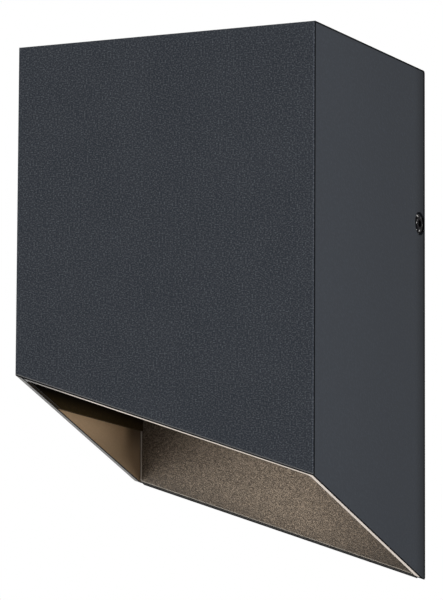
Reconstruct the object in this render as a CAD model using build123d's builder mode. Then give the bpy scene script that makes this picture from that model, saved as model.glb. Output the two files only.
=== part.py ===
from build123d import *
import os

# Outdoor wall light: a slant-cut cover clamped over a wall plate that carries a downward LED engine
os.makedirs("parts", exist_ok=True)

# Cover: millimetres, wall in the plane y = 0, light facing -Y, origin between the wall slots
width = 110.0
depth = 93.0
front_left_height = 112.0
drop_across = 39.0
drop_back = 26.0
wall = 2.6
inner_corner = 2.0
rear_round = 1.0
edge_round = 0.5
slots_below_top = 38.0
screws_below_top = 54.2
screw_from_wall = 4.8

# Clearances
rear_gap = 0.3
slide_gap = 0.4
turn_gap = 0.05
thread_gap = 0.05
hole_gap = 0.3
lead_gap = 0.1
screw_grip = 0.8

# Wall plate
plate_thick = 2.0
plate_corner = 3.0
flange_half = 16.0
flange_depth = 11.0
bend_radius = 1.0
notch_gap = 2.0
fixing_spacing = 60.0
fixing_length = 10.0
fixing_width = 5.0
cable_hole_radius = 7.0
cable_z = 19.0
grommet_bore = 4.5
grommet_lip = 2.5
grommet_reach = 7.0

# Side clamp
screw_radius = 2.0
screw_length = 11.0
head_radius = 3.6
head_height = 2.2
recess_gap = 0.45
recess_depth = 2.2
pad_thick = 1.6
button_round = 1.32
key_radius = 1.45
key_depth = 1.2
key_sides = 6
bar_thick = 3.0
bar_half = 9.0
bar_reach = 15.2
groove_depth = 3.0
block_depth = 7.0
block_wall = 1.6

# Gear shelf and LED engine
shelf_below_top = 78.0
shelf_thick = 3.0
shelf_flange = 10.0
shelf_flange_margin = 8.0
shelf_gap = 1.2
pad_height = 0.5
board_thick = 1.6
board_gap = 4.0
board_screw_inset = 4.0
chip_size = 3.5
chip_height = 0.8
chip_columns = 4
chip_rows = 3
chip_pitch = 14.0
frame_side_gap = 4.4
frame_end_gap = 3.3
frame_height = 11.0
frame_floor = 2.0
frame_border = 9.0
frame_screw_inset = 4.5
window_ledge = 6.0
seal_thick = 1.0
diffuser_thick = 3.0
baffle_thick = 1.0
baffle_below_top = 120.5
baffle_inset = 0.3
baffle_window = 4.0
reflector_thick = 1.0
reflector_screw_inset = 10.0
reflector_screw_drop = 6.0

# Driver, terminals and leads
driver_length = 68.0
driver_width = 36.0
driver_height = 20.0
driver_lid_thick = 2.4
driver_front_gap = 5.0
driver_round = 2.0
ear_length = 7.0
ear_width = 12.0
ear_thick = 3.0
block_length = 32.0
block_height = 18.0
block_reach = 18.0
block_drop = 15.0
pole_pitch = 10.0
pole_count = 3
well_radius = 2.2
well_depth = 9.0
well_offset = 4.5
sink_depth = 10.8
pole_screw_length = 2.2
entry_radius = 1.6
entry_depth = 7.0
entry_from_plate = 9.9
lead_radius = 1.2
lead_insert = 5.0
lead_bend = 3.0
led_lead_from_end = 19.0
led_lead_inset = 4.3
led_lead_pitch = 5.0
led_lead_rise = 6.0
lead_grommet_wall = 1.2
lead_grommet_lip = 1.2
earth_x = 27.0
earth_drop = 14.0
ring_thick = 0.8
ring_radius = 4.0
barrel_radius = 1.9
barrel_length = 5.0
saddle_length = 28.0
saddle_width = 8.0
saddle_height = 7.5
saddle_channel = 4.0
saddle_step = 1.0
saddle_screw_inset = 4.0
saddle_z = 2.5
seal_strip = 3.0
seal_leg = 24.0

# Small screws
m3_radius = 1.5
m3_head_radius = 2.8
m3_head_height = 2.0
m2_radius = 1.25
m2_head_radius = 2.2
m2_head_height = 1.5
head_round = 0.5
slot_width = 0.8
slot_depth = 0.8

# Heights and faces that the sizes above lead to
half = width / 2
inner_half = half - wall
top_z = slots_below_top
screw_z = top_z - screws_below_top
overall_height = front_left_height + drop_across + drop_back
inner_front = -depth + wall
plate_half = inner_half - slide_gap
plate_top = top_z - wall - slide_gap
flange_outer = inner_half - pad_thick - slide_gap
flange_inner = flange_outer - plate_thick
bar_outer = flange_inner - hole_gap
bar_inner = bar_outer - bar_thick
shelf_top = top_z - shelf_below_top
shelf_low = shelf_top - shelf_thick
engine_back = -plate_thick - reflector_thick - slide_gap
engine_front = inner_front + slide_gap
engine_y = (engine_back + engine_front) / 2
frame_length = 2 * (inner_half - frame_side_gap)
frame_width = engine_back - engine_front - 2 * frame_end_gap
pocket_length = frame_length - 2 * frame_border
pocket_width = frame_width - 2 * frame_border
window_length = pocket_length - 2 * window_ledge
window_width = pocket_width - 2 * window_ledge
board_length = pocket_length - 2 * board_gap
board_width = pocket_width - 2 * board_gap
shelf_half = inner_half - shelf_gap
board_low = shelf_low - pad_height - board_thick
frame_top = shelf_low - seal_thick
frame_low = frame_top - frame_height
diffuser_low = frame_low + frame_floor + seal_thick
baffle_low = top_z - baffle_below_top
baffle_half = inner_half - slide_gap
rim = Plane(
    origin=(-half, -depth, top_z - front_left_height),
    z_dir=(drop_across / width, drop_back / depth, 1),
)


def turned_screw(radius: float, length: float, cap_radius: float, cap_height: float) -> Part:
    """Slotted pan screw along Z, with its head's underside at z = 0 and its shank below."""
    with BuildPart() as screw:
        Cylinder(radius, length, align=(Align.CENTER, Align.CENTER, Align.MAX))
        Cylinder(cap_radius, cap_height, align=(Align.CENTER, Align.CENTER, Align.MIN))
        fillet(screw.edges().group_by(Axis.Z)[-1], head_round)
        with Locations((0, 0, cap_height)):
            Box(
                2 * cap_radius,
                slot_width,
                slot_depth,
                align=(Align.CENTER, Align.CENTER, Align.MAX),
                mode=Mode.SUBTRACT,
            )
    return screw.part


def swept_lead(*points: tuple[float, float, float]) -> Part:
    """Insulated lead of one thickness through the points, with rounded bends."""
    with BuildPart() as lead:
        with BuildLine() as route:
            FilletPolyline(*points, radius=lead_bend)
        with BuildSketch(Plane(origin=route.wires()[0] @ 0, z_dir=route.wires()[0] % 0)):
            Circle(lead_radius)
        sweep()
    return lead.part


def finish(part: Part, name: str) -> None:
    """Name a piece and write its file."""
    part.label = name
    export_step(part, f"parts/{name}.step")


def front_spots(y: float, places: list[tuple[float, float]]) -> list[Plane]:
    """Planes facing the front at the given X and Z places."""
    return [Plane(origin=(x, y, z), z_dir=(0, -1, 0), x_dir=(1, 0, 0)) for x, z in places]


def under_spots(z: float, places: list[tuple[float, float]]) -> list[Plane]:
    """Planes facing down at the given X and Y places."""
    return [Plane(origin=(x, y, z), z_dir=(0, 0, -1), x_dir=(1, 0, 0)) for x, y in places]


def corner_spots(length: float, breadth: float, inset: float) -> list[tuple[float, float]]:
    """Four places inset from the corners of a rectangle in the middle of the light chamber."""
    reach_x = length / 2 - inset
    reach_y = breadth / 2 - inset
    return [(sx * reach_x, engine_y + sy * reach_y) for sx in (-1, 1) for sy in (-1, 1)]


# Places that several pieces share
fixing_x = fixing_spacing / 2
shelf_tab = 2 * (fixing_x + shelf_flange_margin)
shelf_screw_spots = [(x, shelf_top + shelf_flange / 2) for x in (-fixing_x, 0, fixing_x)]
reflector_screw_x = frame_length / 2 - reflector_screw_inset
reflector_screw_spots = [(side * reflector_screw_x, shelf_low - reflector_screw_drop) for side in (-1, 1)]
terminal_top = -block_drop + block_height / 2
terminal_low = terminal_top - block_height
pole_xs = [(i - (pole_count - 1) / 2) * pole_pitch for i in range(pole_count)]
well_spots = [(x, -block_drop + side * well_offset) for x in pole_xs for side in (-1, 1)]
block_screw_spots = [(side * pole_pitch / 2, -block_drop) for side in (-1, 1)]
saddle_screw_spots = [(side * (saddle_length / 2 - saddle_screw_inset), saddle_z) for side in (-1, 1)]
earth_spot = (earth_x, -earth_drop)
plate_screw_spots = [
    *shelf_screw_spots,
    *reflector_screw_spots,
    *block_screw_spots,
    *saddle_screw_spots,
    earth_spot,
]
board_screw_spots = corner_spots(board_length, board_width, board_screw_inset)
frame_screw_spots = corner_spots(frame_length, frame_width, frame_screw_inset)
led_lead_x = board_length / 2 - led_lead_from_end
led_lead_y = engine_y + board_width / 2 - led_lead_inset
led_lead_spots = [(led_lead_x + i * led_lead_pitch, led_lead_y) for i in (0, 1)]
led_lead_middle = (led_lead_x + led_lead_pitch / 2, led_lead_y)
lead_hole = 2 * (lead_radius + lead_grommet_wall)
lead_lip = lead_hole + 2 * lead_grommet_lip
driver_y = inner_front + driver_front_gap + driver_width / 2
driver_back = driver_y + driver_width / 2
driver_screw_spots = [(side * (driver_length / 2 + ear_length / 2), driver_y) for side in (-1, 1)]

# Cover
cover_depth = depth - rear_gap
cover_y = -rear_gap - cover_depth / 2
with BuildPart() as cover:
    with BuildSketch(Plane.XY.offset(top_z)):
        with Locations((0, cover_y)):
            Rectangle(width, cover_depth)
    extrude(amount=-overall_height - wall)
    split(bisect_by=rim, keep=Keep.TOP)
    fillet(cover.faces().sort_by(Axis.Y)[-1].edges().filter_by(Axis.Z, reverse=True), rear_round)
    front_face = cover.faces().sort_by(Axis.Y)[0]
    fillet(front_face.edges(), edge_round)
    with BuildSketch(Plane.XY.offset(top_z - wall)) as hollow:
        with Locations((0, inner_front)):
            Rectangle(inner_half * 2, depth, align=(Align.CENTER, Align.MIN))
        fillet(hollow.vertices().group_by(Axis.Y)[0], inner_corner)
    extrude(amount=-overall_height, mode=Mode.SUBTRACT)
    block_front = -bar_reach - block_depth + groove_depth
    wall_middle = half - wall / 2
    pad_inner = inner_half - pad_thick
    block_inner = bar_inner - hole_gap - block_wall
    with BuildSketch(Plane.XY.offset(screw_z - bar_half - block_wall)):
        for side in (-1, 1):
            with Locations((side * (wall_middle + pad_inner) / 2, -rear_gap - rear_round)):
                Rectangle(
                    wall_middle - pad_inner,
                    flange_depth + slide_gap,
                    align=(Align.CENTER, Align.MAX),
                )
            with Locations((side * (wall_middle + block_inner) / 2, block_front)):
                Rectangle(wall_middle - block_inner, block_depth, align=(Align.CENTER, Align.MIN))
    extrude(amount=2 * (bar_half + block_wall))
    with BuildSketch(Plane.XY.offset(screw_z - bar_half - hole_gap)):
        for side in (-1, 1):
            with Locations((side * (bar_inner + bar_outer) / 2, -bar_reach - hole_gap)):
                Rectangle(bar_thick + 2 * hole_gap, bar_reach, align=(Align.CENTER, Align.MIN))
    extrude(amount=2 * (bar_half + hole_gap), mode=Mode.SUBTRACT)
    for side in (-1, 1):
        with BuildSketch(Plane(origin=(side * half, -screw_from_wall, screw_z), z_dir=(side, 0, 0))):
            Circle(head_radius + recess_gap)
        extrude(amount=-recess_depth, mode=Mode.SUBTRACT)
        with BuildSketch(Plane(origin=(side * half, -screw_from_wall, screw_z), z_dir=(side, 0, 0))):
            Circle(screw_radius + turn_gap)
        extrude(amount=-wall - 2 * pad_thick, mode=Mode.SUBTRACT)
finish(cover.part, "cover")

# Bars behind the flanges that the side screws thread into
with BuildPart() as clamp_bars:
    with BuildSketch(Plane.XY.offset(screw_z - bar_half)):
        for side in (-1, 1):
            with Locations((side * (bar_inner + bar_outer) / 2, -bar_reach)):
                Rectangle(bar_thick, bar_reach - rear_gap, align=(Align.CENTER, Align.MIN))
    extrude(amount=2 * bar_half)
    chamfer(clamp_bars.edges().filter_by(Axis.X), edge_round)
    with Locations(Location((0, -screw_from_wall, screw_z), (0, 90, 0))):
        Cylinder(screw_radius + thread_gap, width, mode=Mode.SUBTRACT)
finish(clamp_bars.part, "clamp_bars")

# Side screws: button heads with a hexagon socket, in the recesses of the cover
for side, side_name in ((-1, "left_screw"), (1, "right_screw")):
    seat = Plane(origin=(side * (half - recess_depth), -screw_from_wall, screw_z), z_dir=(side, 0, 0))
    with BuildPart() as side_screw:
        with BuildSketch(seat):
            Circle(screw_radius)
        extrude(amount=-screw_length)
        with BuildSketch(seat):
            Circle(head_radius)
        extrude(amount=head_height)
        crown = side_screw.faces().sort_by(Axis.X)[-1 if side > 0 else 0]
        fillet(crown.edges(), button_round)
        with BuildSketch(seat.offset(head_height)):
            RegularPolygon(key_radius, key_sides)
        extrude(amount=-key_depth, mode=Mode.SUBTRACT)
    finish(side_screw.part, side_name)

# Wall plate: slotted flanges at the sides take the screws from the front
with BuildPart() as wall_plate:
    with BuildSketch(Plane.XZ) as outline:
        with Locations((0, plate_top)):
            Rectangle(plate_half * 2, overall_height, align=(Align.CENTER, Align.MAX))
        fillet(outline.vertices().group_by(Axis.Z)[-1], plate_corner)
        for side in (-1, 1):
            with Locations((side * flange_outer, screw_z)):
                Rectangle(
                    pad_thick * 2,
                    2 * (flange_half + notch_gap),
                    align=(Align.MIN if side > 0 else Align.MAX, Align.CENTER),
                    mode=Mode.SUBTRACT,
                )
    extrude(amount=plate_thick)
    split(bisect_by=rim, keep=Keep.TOP)
    with BuildSketch(Plane.XY.offset(screw_z - flange_half)):
        for side in (-1, 1):
            with Locations((side * (flange_inner + flange_outer) / 2, 0)):
                Rectangle(plate_thick, flange_depth, align=(Align.CENTER, Align.MAX))
    extrude(amount=2 * flange_half)
    upright = wall_plate.edges().filter_by(Axis.Z)
    level = upright.filter_by_position(Axis.Z, screw_z - bend_radius, screw_z + bend_radius)
    fillet(level.filter_by_position(Axis.Y, -slide_gap, slide_gap), bend_radius)
    with BuildSketch(Plane.XZ):
        for side in (-1, 1):
            with Locations((side * flange_inner, screw_z)):
                Rectangle(
                    bar_thick + 2 * hole_gap,
                    2 * (bar_half + hole_gap),
                    align=(Align.MAX if side > 0 else Align.MIN, Align.CENTER),
                )
            with Locations((side * fixing_x, 0)):
                SlotOverall(fixing_length, fixing_width)
        with Locations((0, cable_z)):
            Circle(cable_hole_radius)
        with Locations(*plate_screw_spots):
            Circle(m3_radius + thread_gap)
    extrude(amount=plate_thick, mode=Mode.SUBTRACT)
    slot_half = screw_radius + hole_gap
    with BuildSketch(Plane.YZ):
        with Locations((-screw_from_wall, screw_z)):
            Circle(slot_half)
            Rectangle(flange_depth, 2 * slot_half, align=(Align.MAX, Align.CENTER))
    extrude(amount=half, both=True, mode=Mode.SUBTRACT)
finish(wall_plate.part, "wall_plate")

# Foam strip that keeps rain from running in behind the cover
with BuildPart() as rain_seal:
    with BuildSketch(Plane.XZ.offset(plate_thick)) as strip:
        with Locations((0, plate_top)):
            Rectangle(plate_half * 2, seal_leg, align=(Align.CENTER, Align.MAX))
        fillet(strip.vertices().group_by(Axis.Z)[-1], plate_corner)
        with Locations((0, plate_top - seal_strip)):
            Rectangle(
                2 * (plate_half - seal_strip),
                seal_leg,
                align=(Align.CENTER, Align.MAX),
                mode=Mode.SUBTRACT,
            )
    extrude(amount=seal_strip)
finish(rain_seal.part, "rain_seal")

# Cable grommet, flush with the wall at its back
with BuildPart() as cable_grommet:
    with BuildSketch(Plane.XZ):
        with Locations((0, cable_z)):
            Circle(cable_hole_radius)
    extrude(amount=grommet_reach)
    with BuildSketch(Plane.XZ.offset(plate_thick)):
        with Locations((0, cable_z)):
            Circle(cable_hole_radius + grommet_lip)
    extrude(amount=grommet_lip)
    fillet(cable_grommet.edges().group_by(Axis.Y)[0], edge_round)
    with BuildSketch(Plane.XZ):
        with Locations((0, cable_z)):
            Circle(grommet_bore)
    extrude(amount=grommet_reach, mode=Mode.SUBTRACT)
finish(cable_grommet.part, "cable_grommet")

# Saddle that holds the supply cable, and its screws
with BuildPart() as cable_clamp:
    with BuildSketch(Plane.XY.offset(saddle_z - saddle_width / 2)) as saddle:
        with Locations((0, -plate_thick)):
            Rectangle(saddle_length, saddle_height, align=(Align.CENTER, Align.MAX))
        fillet(saddle.vertices().group_by(Axis.Y)[0], driver_round)
        with Locations((0, -plate_thick)):
            Rectangle(2 * saddle_channel, saddle_step, align=(Align.CENTER, Align.MAX), mode=Mode.SUBTRACT)
        with Locations((0, -plate_thick - saddle_step)):
            Circle(saddle_channel, mode=Mode.SUBTRACT)
    extrude(amount=saddle_width)
    with BuildSketch(Plane.XZ):
        with Locations(*saddle_screw_spots):
            Circle(m3_radius + hole_gap)
    extrude(amount=saddle_height * 2, mode=Mode.SUBTRACT)
finish(cable_clamp.part, "cable_clamp")

saddle_screw_length = saddle_height + plate_thick * screw_grip
saddle_screw = turned_screw(m3_radius, saddle_screw_length, m3_head_radius, m3_head_height)
with BuildPart() as clamp_screws:
    with Locations(*front_spots(-plate_thick - saddle_height, saddle_screw_spots)):
        add(saddle_screw)
finish(clamp_screws.part, "clamp_screws")

# Terminal block with screw wells in front and wire entries above and below
block_front_y = -plate_thick - block_reach
entry_y = -plate_thick - entry_from_plate
with BuildPart() as terminal_block:
    with BuildSketch(Plane.XZ.offset(plate_thick)) as body:
        with Locations((0, -block_drop)):
            Rectangle(block_length, block_height)
    extrude(amount=block_reach)
    chamfer(terminal_block.faces().sort_by(Axis.Y)[0].edges().filter_by(Axis.X), driver_round)
    with BuildSketch(Plane.XZ.offset(plate_thick + block_reach)):
        with Locations(*well_spots):
            Circle(well_radius)
    extrude(amount=-well_depth, mode=Mode.SUBTRACT)
    with BuildSketch(Plane.XZ.offset(plate_thick + block_reach)):
        with Locations(*block_screw_spots):
            Circle(m3_head_radius + hole_gap)
    extrude(amount=-sink_depth, mode=Mode.SUBTRACT)
    with BuildSketch(Plane.XZ.offset(plate_thick)):
        with Locations(*block_screw_spots):
            Circle(m3_radius + hole_gap)
    extrude(amount=block_reach, mode=Mode.SUBTRACT)
    for level, way in ((terminal_top, -1), (terminal_low, 1)):
        with BuildSketch(Plane.XY.offset(level)):
            with Locations(*[(x, entry_y) for x in pole_xs]):
                Circle(entry_radius)
        extrude(amount=way * entry_depth, mode=Mode.SUBTRACT)
finish(terminal_block.part, "terminal_block")

pole_radius = well_radius - hole_gap
pole_screw = turned_screw(pole_radius, pole_screw_length, pole_radius, m2_head_height)
with BuildPart() as terminal_screws:
    with Locations(*front_spots(entry_y - lead_radius - lead_gap - pole_screw_length, well_spots)):
        add(pole_screw)
finish(terminal_screws.part, "terminal_screws")

block_screw_length = block_reach - sink_depth + plate_thick * screw_grip
block_screw = turned_screw(m3_radius, block_screw_length, m3_head_radius, m3_head_height)
with BuildPart() as block_screws:
    with Locations(*front_spots(block_front_y + sink_depth, block_screw_spots)):
        add(block_screw)
finish(block_screws.part, "block_screws")

# Earth ring under its screw on the wall plate
barrel_y = -plate_thick - barrel_radius
with BuildPart() as earth_ring:
    with BuildSketch(Plane.XZ.offset(plate_thick)):
        with Locations(earth_spot):
            Circle(ring_radius)
        with Locations((earth_x, -earth_drop)):
            Rectangle(2 * barrel_radius, ring_radius + 2 * edge_round, align=(Align.CENTER, Align.MAX))
    extrude(amount=ring_thick)
    with BuildSketch(Plane.XY.offset(-earth_drop - ring_radius)):
        with Locations((earth_x, barrel_y)):
            Circle(barrel_radius)
    extrude(amount=-barrel_length)
    with BuildSketch(Plane.XY.offset(-earth_drop - ring_radius - barrel_length)):
        with Locations((earth_x, barrel_y)):
            Circle(lead_radius)
    extrude(amount=barrel_length - edge_round, mode=Mode.SUBTRACT)
    with BuildSketch(Plane.XZ.offset(plate_thick)):
        with Locations(earth_spot):
            Circle(m3_radius + hole_gap)
    extrude(amount=ring_thick, mode=Mode.SUBTRACT)
finish(earth_ring.part, "earth_ring")

ring_screw_length = ring_thick + plate_thick * screw_grip
ring_screw = turned_screw(m3_radius, ring_screw_length, m3_head_radius, m3_head_height)
with BuildPart() as earth_screw:
    with Locations(*front_spots(-plate_thick - ring_thick, [earth_spot])):
        add(ring_screw)
finish(earth_screw.part, "earth_screw")

# Leads from the terminals to the driver and the earth ring
lead_z = terminal_low - lead_bend - lead_radius
for pole, lead_name in ((0, "live_lead"), (1, "neutral_lead")):
    supply_lead = swept_lead(
        (pole_xs[pole], entry_y, terminal_low + lead_insert),
        (pole_xs[pole], entry_y, lead_z),
        (pole_xs[pole], driver_back, lead_z),
    )
    finish(supply_lead, lead_name)
earth_low = -earth_drop - ring_radius - barrel_length
earth_lead = swept_lead(
    (pole_xs[-1], entry_y, terminal_low + lead_insert),
    (pole_xs[-1], entry_y, lead_z),
    (earth_x, barrel_y, lead_z),
    (earth_x, barrel_y, earth_low + barrel_length / 2),
)
finish(earth_lead, "earth_lead")

# Gear shelf: an angle that carries the driver above and sinks the heat of the LEDs below
with BuildPart() as gear_shelf:
    with BuildSketch(Plane.XY.offset(shelf_low)) as shelf_outline:
        with Locations((0, engine_y)):
            Rectangle(2 * shelf_half, engine_back - engine_front)
        fillet(shelf_outline.vertices().group_by(Axis.Y)[0], inner_corner)
        with Locations((0, -plate_thick)):
            Rectangle(shelf_tab, frame_end_gap + reflector_thick, align=(Align.CENTER, Align.MAX))
    extrude(amount=shelf_thick)
    with BuildSketch(Plane.XZ.offset(plate_thick)):
        with Locations((0, shelf_top)):
            Rectangle(shelf_tab, shelf_flange, align=(Align.CENTER, Align.MIN))
    extrude(amount=shelf_thick)
    with BuildSketch(Plane.XZ.offset(plate_thick)):
        with Locations(*shelf_screw_spots):
            Circle(m3_radius + hole_gap)
    extrude(amount=shelf_thick, mode=Mode.SUBTRACT)
    with BuildSketch(Plane.XY.offset(shelf_low)):
        with Locations(*board_screw_spots):
            Circle(m2_radius + thread_gap)
        with Locations(*frame_screw_spots, *driver_screw_spots):
            Circle(m3_radius + thread_gap)
        with Locations(led_lead_middle):
            SlotOverall(led_lead_pitch + lead_hole, lead_hole)
    extrude(amount=shelf_thick, mode=Mode.SUBTRACT)
finish(gear_shelf.part, "gear_shelf")

shelf_screw_length = shelf_thick + plate_thick * screw_grip
shelf_screw = turned_screw(m3_radius, shelf_screw_length, m3_head_radius, m3_head_height)
with BuildPart() as shelf_screws:
    with Locations(*front_spots(-plate_thick - shelf_thick, shelf_screw_spots)):
        add(shelf_screw)
finish(shelf_screws.part, "shelf_screws")

# Driver: a sealed case with ears and a lid
with BuildPart() as driver_case:
    with BuildSketch(Plane.XY.offset(shelf_top)) as case_outline:
        with Locations((0, driver_y)):
            Rectangle(driver_length, driver_width)
        fillet(case_outline.vertices(), driver_round)
    extrude(amount=driver_height - driver_lid_thick)
    with BuildSketch(Plane.XY.offset(shelf_top)) as ears:
        with Locations((0, driver_y)):
            Rectangle(driver_length + 2 * ear_length, ear_width)
        fillet(ears.vertices(), driver_round)
        with Locations(*driver_screw_spots):
            Circle(m3_radius + hole_gap, mode=Mode.SUBTRACT)
    extrude(amount=ear_thick)
finish(driver_case.part, "driver_case")

with BuildPart() as driver_lid:
    with BuildSketch(Plane.XY.offset(shelf_top + driver_height - driver_lid_thick)) as lid_outline:
        with Locations((0, driver_y)):
            Rectangle(driver_length, driver_width)
        fillet(lid_outline.vertices(), driver_round)
    extrude(amount=driver_lid_thick)
    fillet(driver_lid.faces().sort_by(Axis.Z)[-1].edges(), rear_round)
finish(driver_lid.part, "driver_lid")

ear_screw_length = ear_thick + shelf_thick * screw_grip
ear_screw = turned_screw(m3_radius, ear_screw_length, m3_head_radius, m3_head_height)
with BuildPart() as driver_screws:
    with Locations(*[(x, y, shelf_top + ear_thick) for x, y in driver_screw_spots]):
        add(ear_screw)
finish(driver_screws.part, "driver_screws")

# LED board on its thermal pad under the shelf
for sheet_name, sheet_top, sheet_thick in (
    ("thermal_pad", shelf_low, pad_height),
    ("led_board", shelf_low - pad_height, board_thick),
):
    with BuildPart() as sheet:
        with BuildSketch(Plane.XY.offset(sheet_top)):
            with Locations((0, engine_y)):
                Rectangle(board_length, board_width)
            with Locations(*board_screw_spots):
                Circle(m2_radius + hole_gap, mode=Mode.SUBTRACT)
            with Locations(*led_lead_spots):
                Circle(lead_radius + lead_gap, mode=Mode.SUBTRACT)
        extrude(amount=-sheet_thick)
    finish(sheet.part, sheet_name)

with BuildPart() as led_chips:
    with BuildSketch(Plane.XY.offset(board_low)):
        with Locations((0, engine_y)):
            with GridLocations(chip_pitch, chip_pitch, chip_columns, chip_rows):
                Rectangle(chip_size, chip_size)
    extrude(amount=-chip_height)
finish(led_chips.part, "led_chips")

board_screw_length = pad_height + board_thick + shelf_thick * screw_grip
board_screw = turned_screw(m2_radius, board_screw_length, m2_head_radius, m2_head_height)
with BuildPart() as board_screws:
    with Locations(*under_spots(board_low, board_screw_spots)):
        add(board_screw)
finish(board_screws.part, "board_screws")

# LED leads and the grommet that takes them through the shelf
with BuildPart() as lead_grommet:
    with BuildSketch(Plane.XY.offset(shelf_low)):
        with Locations(led_lead_middle):
            SlotOverall(led_lead_pitch + lead_hole, lead_hole)
    extrude(amount=shelf_thick)
    with BuildSketch(Plane.XY.offset(shelf_top)):
        with Locations(led_lead_middle):
            SlotOverall(led_lead_pitch + lead_lip, lead_lip)
    extrude(amount=seal_thick)
    with BuildSketch(Plane.XY.offset(shelf_low)):
        with Locations(*led_lead_spots):
            Circle(lead_radius)
    extrude(amount=shelf_thick + seal_thick, mode=Mode.SUBTRACT)
finish(lead_grommet.part, "lead_grommet")

for (lead_x, lead_y), lead_name in zip(led_lead_spots, ("led_lead_positive", "led_lead_negative")):
    led_lead = swept_lead(
        (lead_x, driver_back, shelf_top + led_lead_rise),
        (lead_x, lead_y, shelf_top + led_lead_rise),
        (lead_x, lead_y, board_low),
    )
    finish(led_lead, lead_name)

# Lens frame with its seal against the shelf
with BuildPart() as lens_frame:
    with BuildSketch(Plane.XY.offset(frame_top)) as frame_outline:
        with Locations((0, engine_y)):
            Rectangle(frame_length, frame_width)
        fillet(frame_outline.vertices(), plate_corner)
        with Locations(*frame_screw_spots):
            Circle(m3_radius + hole_gap, mode=Mode.SUBTRACT)
    extrude(amount=-frame_height)
    with BuildSketch(Plane.XY.offset(frame_top)) as pocket:
        with Locations((0, engine_y)):
            Rectangle(pocket_length, pocket_width)
        fillet(pocket.vertices(), driver_round)
    extrude(amount=-frame_height + frame_floor, mode=Mode.SUBTRACT)
    with BuildSketch(Plane.XY.offset(frame_low)) as window:
        with Locations((0, engine_y)):
            Rectangle(window_length, window_width)
        fillet(window.vertices(), driver_round)
    extrude(amount=frame_floor, mode=Mode.SUBTRACT)
finish(lens_frame.part, "lens_frame")

with BuildPart() as frame_seal:
    with BuildSketch(Plane.XY.offset(frame_top)) as seal_outline:
        with Locations((0, engine_y)):
            Rectangle(frame_length, frame_width)
        fillet(seal_outline.vertices(), plate_corner)
        with Locations((0, engine_y)):
            Rectangle(pocket_length, pocket_width, mode=Mode.SUBTRACT)
        with Locations(*frame_screw_spots):
            Circle(m3_radius + hole_gap, mode=Mode.SUBTRACT)
    extrude(amount=seal_thick)
finish(frame_seal.part, "frame_seal")

with BuildPart() as diffuser_seal:
    with BuildSketch(Plane.XY.offset(frame_low + frame_floor)) as ring_outline:
        with Locations((0, engine_y)):
            Rectangle(pocket_length - 2 * slide_gap, pocket_width - 2 * slide_gap)
        fillet(ring_outline.vertices(), driver_round)
        with Locations((0, engine_y)):
            Rectangle(window_length, window_width, mode=Mode.SUBTRACT)
    extrude(amount=seal_thick)
finish(diffuser_seal.part, "diffuser_seal")

with BuildPart() as diffuser:
    with BuildSketch(Plane.XY.offset(diffuser_low)) as pane:
        with Locations((0, engine_y)):
            Rectangle(pocket_length - 2 * slide_gap, pocket_width - 2 * slide_gap)
        fillet(pane.vertices(), driver_round)
    extrude(amount=diffuser_thick)
finish(diffuser.part, "diffuser")

# Glare baffle: a skirt at the front and sides, level below and kept inside the slanted rim
with BuildPart() as glare_baffle:
    with BuildSketch(Plane.XY.offset(frame_low)) as skirt:
        with Locations((0, engine_y)):
            Rectangle(2 * baffle_half, engine_back - engine_front)
        fillet(skirt.vertices().group_by(Axis.Y)[0], inner_corner)
    extrude(amount=baffle_low - frame_low)
    with BuildSketch(Plane.XY.offset(frame_low - baffle_thick)) as bore:
        with Locations((0, engine_front + baffle_thick)):
            Rectangle(2 * (baffle_half - baffle_thick), depth, align=(Align.CENTER, Align.MIN))
        fillet(bore.vertices().group_by(Axis.Y)[0], inner_corner - baffle_thick)
    extrude(amount=-overall_height, mode=Mode.SUBTRACT)
    with BuildSketch(Plane.XY.offset(frame_low)) as lens_window:
        with Locations((0, engine_y)):
            Rectangle(window_length + baffle_window, window_width + baffle_window)
        with Locations(*frame_screw_spots):
            Circle(m3_radius + hole_gap)
    extrude(amount=-baffle_thick, mode=Mode.SUBTRACT)
    split(bisect_by=rim.offset(baffle_inset), keep=Keep.TOP)
finish(glare_baffle.part, "glare_baffle")

frame_screw_length = baffle_thick + frame_height + seal_thick + shelf_thick * screw_grip
frame_screw = turned_screw(m3_radius, frame_screw_length, m3_head_radius, m3_head_height)
with BuildPart() as frame_screws:
    with Locations(*under_spots(frame_low - baffle_thick, frame_screw_spots)):
        add(frame_screw)
finish(frame_screws.part, "frame_screws")

# Reflector sheet in front of the wall plate, cut on the slant of the rim
with BuildPart() as reflector:
    with BuildSketch(Plane.XZ.offset(plate_thick)):
        with Locations((0, shelf_low)):
            Rectangle(2 * plate_half, overall_height, align=(Align.CENTER, Align.MAX))
        with Locations(*reflector_screw_spots):
            Circle(m3_radius + hole_gap, mode=Mode.SUBTRACT)
    extrude(amount=reflector_thick)
    split(bisect_by=rim, keep=Keep.TOP)
finish(reflector.part, "reflector")

sheet_screw_length = reflector_thick + plate_thick * screw_grip
sheet_screw = turned_screw(m3_radius, sheet_screw_length, m3_head_radius, m3_head_height)
with BuildPart() as reflector_screws:
    with Locations(*front_spots(-plate_thick - reflector_thick, reflector_screw_spots)):
        add(sheet_screw)
finish(reflector_screws.part, "reflector_screws")
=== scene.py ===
"""Looks of a slant-cut outdoor wall light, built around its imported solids."""
import logging
import math
from dataclasses import dataclass
from enum import Enum
from typing import Any

import bpy
from mathutils import Matrix, Vector

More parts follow.
